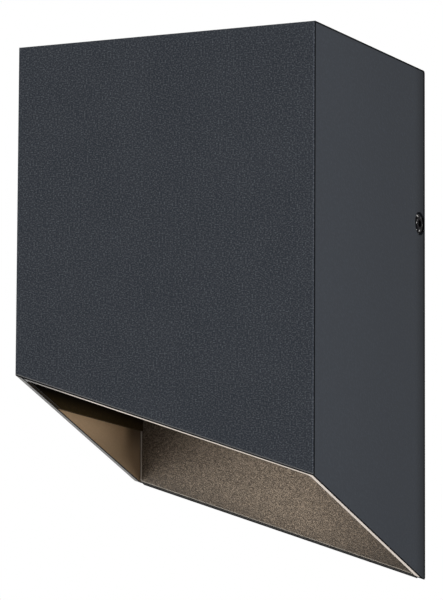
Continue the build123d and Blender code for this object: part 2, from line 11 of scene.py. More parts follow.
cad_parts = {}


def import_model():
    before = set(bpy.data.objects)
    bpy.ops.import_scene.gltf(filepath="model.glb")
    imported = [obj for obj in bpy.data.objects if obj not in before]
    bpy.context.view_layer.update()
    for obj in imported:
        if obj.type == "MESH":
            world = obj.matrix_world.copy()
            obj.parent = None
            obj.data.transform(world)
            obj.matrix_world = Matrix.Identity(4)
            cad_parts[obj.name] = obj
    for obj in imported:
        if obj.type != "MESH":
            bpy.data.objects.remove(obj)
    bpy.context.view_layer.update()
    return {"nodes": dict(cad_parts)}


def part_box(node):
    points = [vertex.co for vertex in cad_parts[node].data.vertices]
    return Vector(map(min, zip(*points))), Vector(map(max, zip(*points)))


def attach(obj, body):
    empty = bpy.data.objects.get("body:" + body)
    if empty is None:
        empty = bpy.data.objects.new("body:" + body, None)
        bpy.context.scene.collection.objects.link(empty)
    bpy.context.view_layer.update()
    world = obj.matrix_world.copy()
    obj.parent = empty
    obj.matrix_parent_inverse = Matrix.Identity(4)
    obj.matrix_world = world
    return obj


LOG = logging.getLogger("wall_light")
MM = 0.001
WHITE = (1.0, 1.0, 1.0, 1.0)

Colour = tuple[float, float, float]
Point = tuple[float, float, float]
Span = tuple[float, float]
Socket = bpy.types.NodeSocket


class Body(Enum):
    """Body of the part that the added pieces ride on."""

    WALL_PLATE = "wall_plate"


class Pattern(Enum):
    """Surface patterns that a finish can carry."""

    POWDER = "powder_grain"
    FLAKE = "metal_flake"
    BRUSHED = "brushed_lines"
    MOULDED = "moulded_skin"


class Element(Enum):
    """Small forms that a repeated piece is made of."""

    RIB = "rib"
    DOME = "dome"


class MixKind(Enum):
    """What a Mix node blends: its data type, the places of its two inputs and that of its output."""

    NUMBER = ("FLOAT", 2, 3, 0)
    COLOUR = ("RGBA", 6, 7, 2)


class Graph:
    """Adds and links nodes in one node tree."""

    def __init__(self, tree: bpy.types.NodeTree) -> None:
        """Keep the tree that the nodes go into."""
        self.tree = tree

    def add(self, kind: str, feeds: dict[Any, Any] | None = None, **settings: Any) -> bpy.types.Node:
        """Add one node.

        Args:
            kind: Blender's name for the node type.
            feeds: socket names or numbers, each with a value or a socket to link from.
            settings: properties of the node itself.

        Returns:
            The new node.
        """
        node = self.tree.nodes.new(kind)
        for key, value in settings.items():
            setattr(node, key, value)
        for key, value in (feeds or {}).items():
            self.feed(node.inputs[key], value)
        return node

    def feed(self, socket: Socket, value: Any) -> None:
        """Set a socket to a value, or link it from another socket.

        Args:
            socket: the input to fill.
            value: a plain value, or the socket to link from.
        """
        if isinstance(value, bpy.types.NodeSocket):
            self.tree.links.new(value, socket)
        else:
            socket.default_value = value

    def math(self, operation: str, *values: Any, clamp: bool = False) -> Socket:
        """Combine numbers.

        Args:
            operation: the Math node's operation.
            values: numbers or sockets.
            clamp: whether the result stays between 0 and 1.

        Returns:
            The result's socket.
        """
        feeds = dict(enumerate(values))
        return self.add("ShaderNodeMath", feeds, operation=operation, use_clamp=clamp).outputs[0]

    def product(self, *factors: Any) -> Socket:
        """Multiply numbers.

        Args:
            factors: two or more numbers or sockets.

        Returns:
            The product's socket.
        """
        result = factors[0]
        for factor in factors[1:]:
            result = self.math("MULTIPLY", result, factor)
        return result

    def over(self, value: Socket, limit: float) -> Socket:
        """Return a mask of what is above a limit."""
        return self.math("GREATER_THAN", value, limit)

    def under(self, value: Socket, limit: float) -> Socket:
        """Return a mask of what is below a limit."""
        return self.math("LESS_THAN", value, limit)

    def either(self, first: Socket, second: Socket) -> Socket:
        """Return a mask of what is in one mask or the other."""
        return self.math("MAXIMUM", first, second)

    def inverse(self, mask: Socket) -> Socket:
        """Return a mask of what is outside another."""
        return self.math("SUBTRACT", 1.0, mask)

    def vector(self, operation: str, *values: Any) -> bpy.types.Node:
        """Combine vectors and return the Vector Math node."""
        return self.add("ShaderNodeVectorMath", dict(enumerate(values)), operation=operation)

    def scale(self, vector: Socket, factor: Any) -> Socket:
        """Return a colour or vector times a number."""
        return self.add("ShaderNodeVectorMath", {0: vector, "Scale": factor}, operation="SCALE").outputs[0]

    def axes(self, place: Socket) -> tuple[Socket, Socket, Socket]:
        """Split coordinates into x, y and z."""
        return tuple(self.add("ShaderNodeSeparateXYZ", {0: place}).outputs)

    def _blended(self, kind: MixKind, factor: Any, first: Any, second: Any) -> Socket:
        """Blend two colours or two numbers.

        Args:
            kind: which of the two.
            factor: 0 for the first, 1 for the second.
            first: a value or socket.
            second: a value or socket.

        Returns:
            The result's socket.
        """
        data_type, first_input, second_input, output = kind.value
        feeds = {0: factor, first_input: first, second_input: second}
        return self.add("ShaderNodeMix", feeds, data_type=data_type).outputs[output]

    def mix(self, factor: Any, first: Any, second: Any) -> Socket:
        """Blend two colours, the first at 0 and the second at 1."""
        return self._blended(MixKind.COLOUR, factor, first, second)

    def blend(self, factor: Any, first: Any, second: Any) -> Socket:
        """Blend two numbers, the first at 0 and the second at 1."""
        return self._blended(MixKind.NUMBER, factor, first, second)

    def shade(self, mask: Socket, factor: float) -> Socket:
        """Return a factor inside a mask and 1 outside it."""
        return self.blend(mask, 1.0, factor)

    def remap(self, value: Socket, low: Any, high: Any, to_low: Any = 0.0, to_high: Any = 1.0) -> Socket:
        """Map a range of numbers smoothly to another.

        Args:
            value: the number.
            low: start of its range.
            high: end of its range.
            to_low: result at the start.
            to_high: result at the end.

        Returns:
            The mapped number's socket.
        """
        feeds = {0: value, 1: low, 2: high, 3: to_low, 4: to_high}
        return self.add("ShaderNodeMapRange", feeds, interpolation_type="SMOOTHSTEP").outputs[0]

    def noise(self, vector: Socket, scale: Any, detail: float, roughness: float = 0.5) -> Socket:
        """Add cloudy noise.

        Args:
            vector: coordinates to follow.
            scale: number of clouds in a metre.
            detail: number of finer layers.
            roughness: strength of each finer layer.

        Returns:
            The noise's socket.
        """
        feeds = {"Vector": vector, "Scale": scale, "Detail": detail, "Roughness": roughness}
        return self.add("ShaderNodeTexNoise", feeds).outputs[0]


def opaque(colour: Colour) -> tuple[float, float, float, float]:
    """Return a colour with full opacity."""
    return (*colour, 1.0)


class EffectLibrary:
    """Shader node groups that several finishes share, each built once.

    A draw squeezes coordinates so that the pattern lies longer that way, a span is the stretch of noise
    that is kept, a ratio is the number of grains across one cloud, and a share is a part of the tone.
    """

    cloud_span: Span = (0.3, 0.7)
    powder_draw: Point = (0.7, 0.7, 1.0)
    powder_span: Span = (0.42, 0.76)
    powder_ratio: float = 26.0
    powder_cloud_share: float = 0.04
    speck_power: float = 2.2
    speck_share: float = 0.34
    lump_share: float = 0.34
    spark_span: Span = (0.94, 1.0)
    spark_share: float = 0.4
    brush_draw: Point = (0.04, 1.0, 1.0)
    brush_ratio: float = 30.0
    brush_cloud_share: float = 0.5
    skin_ratio: float = 18.0
    skin_cloud_share: float = 0.6

    def __init__(self) -> None:
        """Build every group."""
        self.groups = {
            Pattern.POWDER: self._powder(),
            Pattern.FLAKE: self._flake(),
            Pattern.BRUSHED: self._brushed(),
            Pattern.MOULDED: self._moulded(),
        }

    def _start(self, pattern: Pattern) -> tuple[Graph, Socket, Socket]:
        """Make a pattern's group with its named inputs and outputs.

        Args:
            pattern: which pattern.

        Returns:
            The group's graph, its coordinates and its number of grains in a metre.
        """
        tree = bpy.data.node_groups.new(pattern.value, "ShaderNodeTree")
        tree.interface.new_socket("Vector", in_out="INPUT", socket_type="NodeSocketVector")
        pitch = tree.interface.new_socket("Pitch", in_out="INPUT", socket_type="NodeSocketFloat")
        pitch.default_value = MM
        for name in ("Tone", "Height"):
            tree.interface.new_socket(name, in_out="OUTPUT", socket_type="NodeSocketFloat")
        graph = Graph(tree)
        entry = graph.add("NodeGroupInput")
        density = graph.math("DIVIDE", 1.0, entry.outputs["Pitch"])
        return graph, entry.outputs["Vector"], density

    def _end(self, graph: Graph, tone: Socket, height: Socket) -> bpy.types.NodeTree:
        """Put a pattern out and return its group."""
        graph.add("NodeGroupOutput", {"Tone": tone, "Height": height})
        return graph.tree

    def _powder(self) -> bpy.types.NodeTree:
        """Build the orange-peel grain of a sprayed and baked coat, a little drawn out sideways.

        Returns:
            The group.
        """
        graph, place, density = self._start(Pattern.POWDER)
        drawn = graph.vector("MULTIPLY", place, self.powder_draw).outputs[0]
        grain = graph.noise(drawn, density, detail=2.0, roughness=0.6)
        wide = graph.math("DIVIDE", density, self.powder_ratio)
        cloud = graph.noise(place, wide, detail=3.0, roughness=0.55)
        crest = graph.remap(grain, *self.powder_span)
        tone = graph.blend(self.powder_cloud_share, crest, graph.remap(cloud, *self.cloud_span))
        return self._end(graph, tone, crest)

    def _flake(self) -> bpy.types.NodeTree:
        """Build the sparkle of metal flakes under lacquer.

        Returns:
            The group.
        """
        graph, place, density = self._start(Pattern.FLAKE)
        cells = graph.add("ShaderNodeTexVoronoi", {"Vector": place, "Scale": density, "Randomness": 1.0})
        pick = graph.add("ShaderNodeSeparateColor", {"Color": cells.outputs["Color"]})
        speck = graph.math("POWER", pick.outputs[0], self.speck_power)
        # The pale specks are the flakes' own colour; the bright sparks are painted glints.
        spark = graph.remap(pick.outputs[1], *self.spark_span)
        lump = graph.remap(graph.noise(place, density, detail=2.0, roughness=0.6), *self.cloud_span)
        ground = graph.math("MULTIPLY_ADD", speck, self.speck_share, graph.product(lump, self.lump_share))
        tone = graph.math("MULTIPLY_ADD", spark, self.spark_share, ground, clamp=True)
        return self._end(graph, tone, lump)

    def _brushed(self) -> bpy.types.NodeTree:
        """Build the fine drawn lines of rolled or plated sheet.

        Returns:
            The group.
        """
        graph, place, density = self._start(Pattern.BRUSHED)
        drawn = graph.vector("MULTIPLY", place, self.brush_draw).outputs[0]
        lines = graph.noise(drawn, density, detail=3.0, roughness=0.6)
        wide = graph.math("DIVIDE", density, self.brush_ratio)
        cloud = graph.noise(place, wide, detail=4.0, roughness=0.6)
        tone = graph.blend(self.brush_cloud_share, lines, graph.remap(cloud, *self.cloud_span))
        return self._end(graph, tone, lines)

    def _moulded(self) -> bpy.types.NodeTree:
        """Build the faint spark-eroded skin of moulded plastic and rubber.

        Returns:
            The group.
        """
        graph, place, density = self._start(Pattern.MOULDED)
        feeds = {"Vector": place, "Scale": density, "Randomness": 1.0}
        skin = graph.add("ShaderNodeTexVoronoi", feeds, feature="SMOOTH_F1").outputs[0]
        wide = graph.math("DIVIDE", density, self.skin_ratio)
        cloud = graph.noise(place, wide, detail=3.0)
        return self._end(graph, graph.blend(self.skin_cloud_share, skin, cloud), skin)

    def place(self, graph: Graph, pattern: Pattern, vector: Socket, pitch: float) -> bpy.types.Node:
        """Put a pattern into a material.

        Args:
            graph: the material's graph.
            pattern: which pattern.
            vector: the coordinates that it follows.
            pitch: the size of one grain in metres.

        Returns:
            The group node.
        """
        feeds = {"Vector": vector, "Pitch": pitch}
        return graph.add("ShaderNodeGroup", feeds, node_tree=self.groups[pattern])


@dataclass(frozen=True)
class Paint:
    """Sockets of one coat of paint in a material."""

    colour: Socket
    rough: Socket
    height: Socket

    def lay(self, graph: Graph, shader: bpy.types.Node, relief: float) -> None:
        """Lead the paint into a material's shader.

        Args:
            graph: the material's graph.
            shader: its shader.
            relief: what a height of 1 stands for, in metres.
        """
        bump = graph.add("ShaderNodeBump", {"Strength": 1.0, "Distance": relief, "Height": self.height})
        graph.feed(shader.inputs["Base Color"], self.colour)
        graph.feed(shader.inputs["Roughness"], self.rough)
        graph.feed(shader.inputs["Normal"], bump.outputs[0])


@dataclass(frozen=True)
class Finish:
    """A surface with two tones of colour and of roughness; its grain's pitch and relief are in metres."""

    name: str
    base: Colour
    tint: Colour
    roughness: Span
    pattern: Pattern
    pitch: float
    relief: float
    metallic: float = 0.0
    specular: float = 0.3
    transmission: float = 0.0

    def begin(self, name: str) -> tuple[bpy.types.Material, Graph, bpy.types.Node, Socket]:
        """Start a material with this finish's plain numbers.

        Args:
            name: the material's name.

        Returns:
            The material, its graph, its shader and its Object coordinates.
        """
        material = bpy.data.materials.new(name)
        material.use_nodes = True
        material.diffuse_color = opaque(self.base)
        graph = Graph(material.node_tree)
        shader = material.node_tree.nodes["Principled BSDF"]
        shader.inputs["Metallic"].default_value = self.metallic
        shader.inputs["Specular IOR Level"].default_value = self.specular
        shader.inputs["Transmission Weight"].default_value = self.transmission
        return material, graph, shader, graph.add("ShaderNodeTexCoord").outputs["Object"]

    def paint(self, graph: Graph, effects: EffectLibrary, place: Socket) -> Paint:
        """Mix the paint.

        Args:
            graph: the material's graph.
            effects: the shared patterns.
            place: coordinates to follow.

        Returns:
            The paint's sockets.
        """
        grain = effects.place(graph, self.pattern, place, self.pitch)
        tone = grain.outputs["Tone"]
        colour = graph.mix(tone, opaque(self.base), opaque(self.tint))
        return Paint(colour, graph.blend(tone, *self.roughness), grain.outputs["Height"])

    def build(self, effects: EffectLibrary) -> bpy.types.Material:
        """Make the material.

        Args:
            effects: the shared patterns.

        Returns:
            The finished material.
        """
        material, graph, shader, place = self.begin(self.name)
        self.paint(graph, effects, place).lay(graph, shader, self.relief)
        return material


@dataclass(frozen=True)
class CoverShape:
    """Faces of the cover that paints stop at, in metres."""

    half_width: float = 0.055
    front: float = -0.093
    top: float = 0.038
    wall: float = 0.0026
    rim_level: float = -0.074
    drop_across: float = 0.039
    drop_back: float = 0.026

    def rim_height(self, graph: Graph, place: Socket) -> Socket:
        """Measure how far a point lies above the slanted rim.

        Args:
            graph: the material's graph.
            place: Object coordinates.

        Returns:
            The distance from the rim's plane.
        """
        slope = Vector((self.drop_across / (2 * self.half_width), -self.drop_back / self.front, 1.0))
        normal = slope.normalized()
        corner = Vector((-self.half_width, self.front, self.rim_level))
        along = graph.vector("DOT_PRODUCT", place, tuple(normal)).outputs["Value"]
        return graph.math("SUBTRACT", along, normal.dot(corner))


@dataclass(frozen=True)
class CoverFinish:
    """Paints of the cover: textured front, smooth sides, bronze lining and a cut rim with a pale strip.

    Bands, laps, lines, the strip, the turn and the skin are widths in metres. Spans run along x for the
    rim's shade ramp, along z for the mouth and along y for the rest. Shades, the share and the gain are
    factors. Much of it is painted light and shade: near-black laps, dark edge lines, a darker rear band
    and ramp toward the wall, painted highlights on the front's edges, a shaded left end of the rim's
    strip, and a lit band, a dark top and a darker rear on the lining.
    """

    name: str
    front: Finish
    outside: Finish
    inside: Finish
    rim: Finish
    rim_shaded: Finish
    shape: CoverShape
    skin: float = 0.0001
    rim_band: float = 0.00012
    coat_lap: float = 0.00125
    side_lap: float = 0.0009
    rear_lap: float = 0.0028
    left_strip: float = 0.0019
    edge_turn: float = 0.00015
    edge_band: float = 0.0009
    # Painted shade: dark lines along the upright front edges, the tops of the sides and the rear edge.
    edge_shade: float = 0.15
    # The coat lapping over the rim is real paint; darkening it, and the lip at the foot of the front face,
    # to near black is painted shade.
    lap_shade: float = 0.1
    rear_line: float = 0.0016
    top_line: float = 0.0006
    # Painted highlight: a bright line on the front face beside its right upright edge, the colour times the
    # gain.
    highlight_band: float = 0.00048
    highlight_gain: float = 2.0
    # Painted shade: the rim's pale strip turns to the rim's shaded tone toward the left.
    rim_shade_ramp: Span = (-0.0535, -0.024)
    # Painted shade: the lining darkens toward the rear of the chamber.
    depth_shade_ramp: Span = (-0.050, -0.004)
    depth_shade: float = 0.78
    # Painted shade: the coat darkens over the last centimetre before the rear edge.
    rear_span: Span = (-0.0100, 0.0004)
    rear_shade: float = 0.4
    # Painted highlight: a thin pale line on the front face just above the rim, with the dark lip below it.
    glint_band: Span = (0.00016, 0.00042)
    glint_share: float = 0.5
    # Painted shade: the coat darkens gently from the front toward the wall.
    wall_shade_ramp: Span = (-0.088, -0.015)
    wall_shade: float = 0.87
    # Painted light and shade on the lining: brighter in a band just below the baffle's edge, darker lower
    # down, and dark above the mouth level where it shows beside the baffle.
    mouth_level: float = -0.0823
    mouth: Span = (-0.095, -0.0825)
    mouth_shades: Span = (0.84, 1.33)
    hidden_shade: float = 0.2
    # Painted shade in the lining's rear corner, strongest at the top of the mouth band.
    corner: Span = (-0.0175, -0.0085)
    corner_shade: float = 0.25

    def zones(self, graph: Graph, place: Socket) -> dict[str, Socket]:
        """Work out where each paint lies.

        Args:
            graph: the material's graph.
            place: Object coordinates.

        Returns:
            Masks by name: inside, hidden, mouth, corner, strip, lap, edge, crest, front, painted_glint,
                rear,
            rim_shade_ramp, depth_shade_ramp and wall_shade_ramp.
        """
        shape = self.shape
        x, y, z = graph.axes(place)
        height = shape.rim_height(graph, place)
        from_left = graph.math("ADD", x, shape.half_width)
        from_right = graph.math("SUBTRACT", shape.half_width, x)
        from_side = graph.math("SUBTRACT", shape.half_width, graph.math("ABSOLUTE", x))
        from_front = graph.math("SUBTRACT", y, shape.front)
        inside = graph.product(
            graph.over(from_side, shape.wall - self.skin),
            graph.over(from_front, shape.wall / 2),
            graph.under(z, shape.top - shape.wall / 2),
        )
        rim = graph.under(height, self.rim_band)
        outer = graph.under(from_left, self.left_strip)
        strip = graph.product(
            graph.over(from_front, self.coat_lap),
            graph.over(from_right, self.side_lap),
            graph.either(outer, graph.under(y, -self.rear_lap)),
            graph.either(outer, graph.over(from_left, shape.wall + self.skin)),
        )
        front = graph.under(from_front, self.edge_turn)
        above = graph.over(height, self.glint_band[0])
        lip = graph.product(front, graph.inverse(above))
        turned = graph.product(graph.under(from_side, self.edge_turn), graph.inverse(front))
        line = graph.either(
            graph.under(from_front, self.edge_band), graph.over(z, shape.top - self.top_line))
        mouth = graph.remap(z, *self.mouth)
        return {
            "inside": graph.product(inside, graph.inverse(rim)),
            "hidden": graph.over(z, self.mouth_level),
            "mouth": mouth,
            "corner": graph.product(mouth, graph.remap(y, *self.corner)),
            "strip": graph.product(rim, strip),
            "lap": graph.either(lip, graph.product(rim, graph.inverse(strip))),
            "edge": graph.either(graph.product(turned, line), graph.over(y, -self.rear_line)),
            "crest": graph.product(front, graph.under(from_right, self.highlight_band)),
            "front": front,
            "painted_glint": graph.product(front, above, graph.under(height, self.glint_band[1])),
            "rear": graph.remap(y, *self.rear_span),
            "rim_shade_ramp": graph.remap(x, *self.rim_shade_ramp),
            "depth_shade_ramp": graph.remap(y, *self.depth_shade_ramp),
            "wall_shade_ramp": graph.remap(y, *self.wall_shade_ramp),
        }

    def build(self, effects: EffectLibrary) -> bpy.types.Material:
        """Make the material.

        Args:
            effects: the shared patterns.

        Returns:
            The finished material.
        """
        material, graph, shader, place = self.outside.begin(self.name)
        zone = self.zones(graph, place)
        face, coat, lining, cut, rim_shadow = (
            finish.paint(graph, effects, place)
            for finish in (self.front, self.outside, self.inside, self.rim, self.rim_shaded)
        )
        # Painted shade on the coat: near-black laps, dark edge lines, a darker rear band and a darker ramp
        # toward the wall, with a painted highlight beside the right upright edge.
        shade = graph.product(
            graph.shade(zone["lap"], self.lap_shade),
            graph.shade(zone["edge"], self.edge_shade),
            graph.shade(zone["crest"], self.highlight_gain),
            graph.shade(zone["rear"], self.rear_shade),
            graph.shade(zone["wall_shade_ramp"], self.wall_shade),
        )
        dark = graph.scale(graph.mix(zone["front"], coat.colour, face.colour), shade)
        # Painted highlight along the front's lower edge, mixed halfway toward the rim's shaded tone.
        glinted = graph.mix(graph.product(zone["painted_glint"], self.glint_share), dark, rim_shadow.colour)
        # Painted light and shade on the lining: the lit band, the dark top, the rear corner and the rear.
        glow = graph.product(
            graph.blend(zone["hidden"], graph.blend(zone["mouth"], *self.mouth_shades), self.hidden_shade),
            graph.shade(zone["corner"], self.corner_shade),
            graph.shade(zone["depth_shade_ramp"], self.depth_shade),
        )
        bronze = graph.scale(lining.colour, glow)
        # Painted shade on the rim's strip, darker toward the left.
        strip = graph.mix(zone["rim_shade_ramp"], rim_shadow.colour, cut.colour)
        flat = graph.blend(graph.either(zone["edge"], zone["lap"]), coat.rough, 1.0)
        depth = graph.blend(zone["front"], self.outside.relief, self.front.relief)
        grain = graph.product(coat.height, depth)
        lining_grain = graph.product(lining.height, self.inside.relief)
        cut_grain = graph.product(cut.height, self.rim.relief)
        Paint(
            graph.mix(zone["strip"], graph.mix(zone["inside"], glinted, bronze), strip),
            graph.blend(zone["strip"], graph.blend(zone["inside"], flat, lining.rough), cut.rough),
            graph.blend(zone["strip"], graph.blend(zone["inside"], grain, lining_grain), cut_grain),
        ).lay(graph, shader, relief=1.0)
        graph.feed(shader.inputs["Metallic"], graph.product(zone["strip"], self.rim.metallic))
        return material


@dataclass(frozen=True)
class EdgedFinish:
    """A painted sheet, darker near its ends and foot, whose cut edges show paler.

    The half width and the bands are in metres, the left and right shade ramps run along x, and the low
    bands and the foot shade ramp are heights above the rim. The darkening toward both ends and the foot
    is painted shade.
    """

    name: str
    face: Finish
    foot: Finish
    low_edge: Finish
    side_edge: Finish
    shape: CoverShape
    half_width: float = 0.0520
    side_band: float = 0.0005
    low_bands: Span = (0.00022, 0.00052)
    foot_shade_ramp: Span = (-0.002, 0.007)
    low_shade: float = 0.62
    left_shade_ramp: Span = (0.004, -0.045)
    left_shade: float = 0.69
    right_shade_ramp: Span = (0.008, 0.052)
    right_shade: float = 0.40

    def build(self, effects: EffectLibrary) -> bpy.types.Material:
        """Make the material.

        Args:
            effects: the shared patterns.

        Returns:
            The finished material.
        """
        material, graph, shader, place = self.face.begin(self.name)
        x = graph.axes(place)[0]
        height = self.shape.rim_height(graph, place)
        at_side = graph.over(graph.math("ABSOLUTE", x), self.half_width - self.side_band)
        at_foot, at_edge = (graph.under(height, band) for band in self.low_bands)
        face, foot, low, side = (
            finish.paint(graph, effects, place)
            for finish in (self.face, self.foot, self.low_edge, self.side_edge)
        )
        # Painted shade toward both ends of the sheet and toward its foot.
        shade = graph.product(
            graph.remap(x, *self.left_shade_ramp, 1.0, self.left_shade),
            graph.remap(x, *self.right_shade_ramp, 1.0, self.right_shade),
            graph.remap(height, *self.foot_shade_ramp, self.low_shade, 1.0),
        )
        colour = graph.mix(at_side, graph.scale(face.colour, shade), side.colour)
        colour = graph.mix(at_foot, graph.mix(at_edge, colour, low.colour), foot.colour)
        rough = graph.blend(at_edge, graph.blend(at_side, face.rough, side.rough), low.rough)
        rough = graph.blend(at_foot, rough, foot.rough)
        Paint(colour, rough, face.height).lay(graph, shader, self.face.relief)
        return material


@dataclass(frozen=True)
class GradedFinish:
    """A paint that darkens with height, and more on the end that follows the slanted rim.

    Levels are along z, the end band is a height above the rim, and shades are factors. The bright lower
    edge, the dark top and the darker end are painted light and shade.
    """

    name: str
    coat: Finish
    shape: CoverShape
    levels: Span = (-0.0825, -0.0768)
    shades: Span = (2.7, 0.16)
    end_band: float = 0.00045
    end_shade: float = 0.3

    def build(self, effects: EffectLibrary) -> bpy.types.Material:
        """Make the material.

        Args:
            effects: the shared patterns.

        Returns:
            The finished material.
        """
        material, graph, shader, place = self.coat.begin(self.name)
        at_end = graph.under(self.shape.rim_height(graph, place), self.end_band)
        # Painted light and shade: bright at the lower edge, dark above it, and darker on the end face.
        shade = graph.product(
            graph.remap(graph.axes(place)[2], *self.levels, *self.shades),
            graph.shade(at_end, self.end_shade),
        )
        coat = self.coat.paint(graph, effects, place)
        Paint(graph.scale(coat.colour, shade), coat.rough, coat.height).lay(graph, shader, self.coat.relief)
        return material


@dataclass(frozen=True)
class GlintSpotFinish:
    """A blackened screw with painted glints, drawn as spots of bare steel on a ring of its head, with its
    axis along x.
    """

    name: str
    coat: Finish
    glint_metal: Finish
    axis_y: float = -0.0048
    axis_z: float = -0.0162
    ring: Span = (0.0022, 0.0034)
    spot_pitch: float = 0.0011
    spot_cut: Span = (0.59, 0.64)

    def build(self, effects: EffectLibrary) -> bpy.types.Material:
        """Make the material.

        Args:
            effects: the shared patterns.

        Returns:
            The finished material.
        """
        material, graph, shader, place = self.coat.begin(self.name)
        _, y, z = graph.axes(place)
        across = graph.math("SUBTRACT", y, self.axis_y)
        rise = graph.math("SUBTRACT", z, self.axis_z)
        square = graph.math("MULTIPLY_ADD", across, across, graph.product(rise, rise))
        radius = graph.math("SQRT", square)
        spots = graph.noise(place, 1.0 / self.spot_pitch, detail=1.0)
        # Painted glints: pale metal spots on a ring of the head.
        painted_glint = graph.product(
            graph.over(radius, self.ring[0]),
            graph.under(radius, self.ring[1]),
            graph.remap(spots, *self.spot_cut),
        )
        coat = self.coat.paint(graph, effects, place)
        glint_metal = self.glint_metal.paint(graph, effects, place)
        colour = graph.mix(painted_glint, coat.colour, glint_metal.colour)
        Paint(colour, graph.blend(painted_glint, coat.rough, glint_metal.rough), coat.height).lay(
            graph, shader, self.coat.relief)
        graph.feed(shader.inputs["Metallic"], graph.product(painted_glint, self.glint_metal.metallic))
        return material


ANTHRACITE = Finish("anthracite_coat", (0.0415, 0.0474, 0.0575), (0.0558, 0.0632, 0.0757), (0.55, 0.67),
                    Pattern.POWDER, 0.75 * MM, 0.03 * MM, specular=0.05)
# The front's grain is real; its strong contrast, bright crests on a dark ground, also paints the light and
# shade of the texture's bumps.
TEXTURED_FRONT = Finish("textured_front", (0.0255, 0.0302, 0.0388), (0.107, 0.115, 0.128), (0.5, 0.62),
                        Pattern.POWDER, 0.42 * MM, 0.08 * MM, specular=0.05)
BRONZE = Finish("bronze_sheet", (0.056, 0.0415, 0.0285), (0.535, 0.42, 0.31), (0.36, 0.52),
                Pattern.FLAKE, 0.36 * MM, 0.06 * MM, metallic=0.3)
LOW_EDGE = Finish("pale_low_edge", (0.26, 0.232, 0.195), (0.33, 0.298, 0.255), (0.5, 0.6),
                  Pattern.BRUSHED, 0.3 * MM, 0.004 * MM, metallic=0.2)
SIDE_EDGE = Finish("pale_side_edge", (0.56, 0.50, 0.43), (0.66, 0.60, 0.52), (0.4, 0.5),
                   Pattern.BRUSHED, 0.3 * MM, 0.004 * MM, metallic=0.2)
BLACK_COAT = Finish("black_coat", (0.012, 0.011, 0.010), (0.020, 0.019, 0.018), (0.75, 0.9),
                    Pattern.POWDER, 0.7 * MM, 0.03 * MM, specular=0.03)
LINING = Finish("bronze_lining", (0.62, 0.44, 0.272), (0.675, 0.485, 0.31), (0.42, 0.55),
                Pattern.POWDER, 0.5 * MM, 0.01 * MM)
RIM_METAL = Finish("bare_rim", (0.87, 0.77, 0.68), (0.93, 0.83, 0.745), (0.4, 0.55),
                   Pattern.BRUSHED, 0.3 * MM, 0.004 * MM, metallic=0.2)
# A shaded copy of the rim's colour: painted shade on the left of the rim's strip, and the tone that the
# front's painted highlight is mixed toward.
RIM_SHADED_TONE = Finish("shaded_rim_tone", (0.21, 0.205, 0.20), (0.27, 0.265, 0.255), (0.5, 0.6),
                  Pattern.BRUSHED, 0.3 * MM, 0.004 * MM, metallic=0.2)
DARK_BROWN = Finish("dark_brown_paint", (0.0175, 0.0120, 0.0052), (0.0265, 0.0185, 0.0082), (0.6, 0.75),
                    Pattern.POWDER, 0.8 * MM, 0.03 * MM, specular=0.03)
BLACK_OXIDE = Finish("black_oxide", (0.004, 0.004, 0.005), (0.009, 0.009, 0.010), (0.4, 0.55),
                     Pattern.POWDER, 0.4 * MM, 0.006 * MM, specular=0.02)
# Pale steel of the screw heads' painted glints.
GLINT_STEEL = Finish("glint_steel", (0.50, 0.49, 0.48), (0.66, 0.65, 0.64), (0.3, 0.45),
                      Pattern.BRUSHED, 0.3 * MM, 0.004 * MM, metallic=0.4)
ZINC = Finish("zinc_plate", (0.50, 0.50, 0.48), (0.64, 0.64, 0.62), (0.3, 0.46),
              Pattern.BRUSHED, 0.4 * MM, 0.006 * MM, metallic=0.9)
ALUMINIUM = Finish("mill_aluminium", (0.42, 0.42, 0.43), (0.52, 0.52, 0.53), (0.5, 0.68),
                   Pattern.BRUSHED, 0.35 * MM, 0.008 * MM, metallic=0.6)
OPAL = Finish("opal_sheet", (0.84, 0.85, 0.85), (0.89, 0.90, 0.90), (0.4, 0.5),
              Pattern.MOULDED, 0.6 * MM, 0.006 * MM, transmission=0.2)
WHITE_PLASTIC = Finish("white_moulding", (0.68, 0.68, 0.65), (0.75, 0.75, 0.72), (0.42, 0.58),
                       Pattern.MOULDED, 0.5 * MM, 0.012 * MM)
SOLDER_MASK = Finish("white_solder_mask", (0.74, 0.74, 0.72), (0.82, 0.82, 0.80), (0.28, 0.4),
                     Pattern.POWDER, 1.2 * MM, 0.006 * MM)
PHOSPHOR = Finish("phosphor", (0.78, 0.60, 0.10), (0.86, 0.70, 0.20), (0.2, 0.35),
                  Pattern.POWDER, 0.3 * MM, 0.006 * MM)
GREY_PAD = Finish("thermal_sheet", (0.30, 0.31, 0.33), (0.38, 0.39, 0.41), (0.7, 0.85),
                  Pattern.MOULDED, 0.5 * MM, 0.02 * MM)
BLACK_RUBBER = Finish("black_rubber", (0.014, 0.014, 0.014), (0.026, 0.026, 0.026), (0.6, 0.8),
                      Pattern.MOULDED, 0.8 * MM, 0.04 * MM, specular=0.2)
SILICONE = Finish("grey_silicone", (0.52, 0.52, 0.52), (0.62, 0.62, 0.62), (0.4, 0.55),
                  Pattern.MOULDED, 0.6 * MM, 0.01 * MM)
BRASS = Finish("plain_brass", (0.66, 0.46, 0.16), (0.80, 0.60, 0.26), (0.25, 0.4),
               Pattern.BRUSHED, 0.3 * MM, 0.006 * MM, metallic=0.95)
COVER_FINISH = CoverFinish(
    "cover_paints", TEXTURED_FRONT, ANTHRACITE, LINING, RIM_METAL, RIM_SHADED_TONE, CoverShape())
REFLECTOR_FINISH = EdgedFinish("reflector_paint", BRONZE, BLACK_COAT, LOW_EDGE, SIDE_EDGE, CoverShape())
BAFFLE_FINISH = GradedFinish("baffle_paint", DARK_BROWN, CoverShape())
SCREW_FINISH = GlintSpotFinish("glint_spotted_screw", BLACK_OXIDE, GLINT_STEEL)

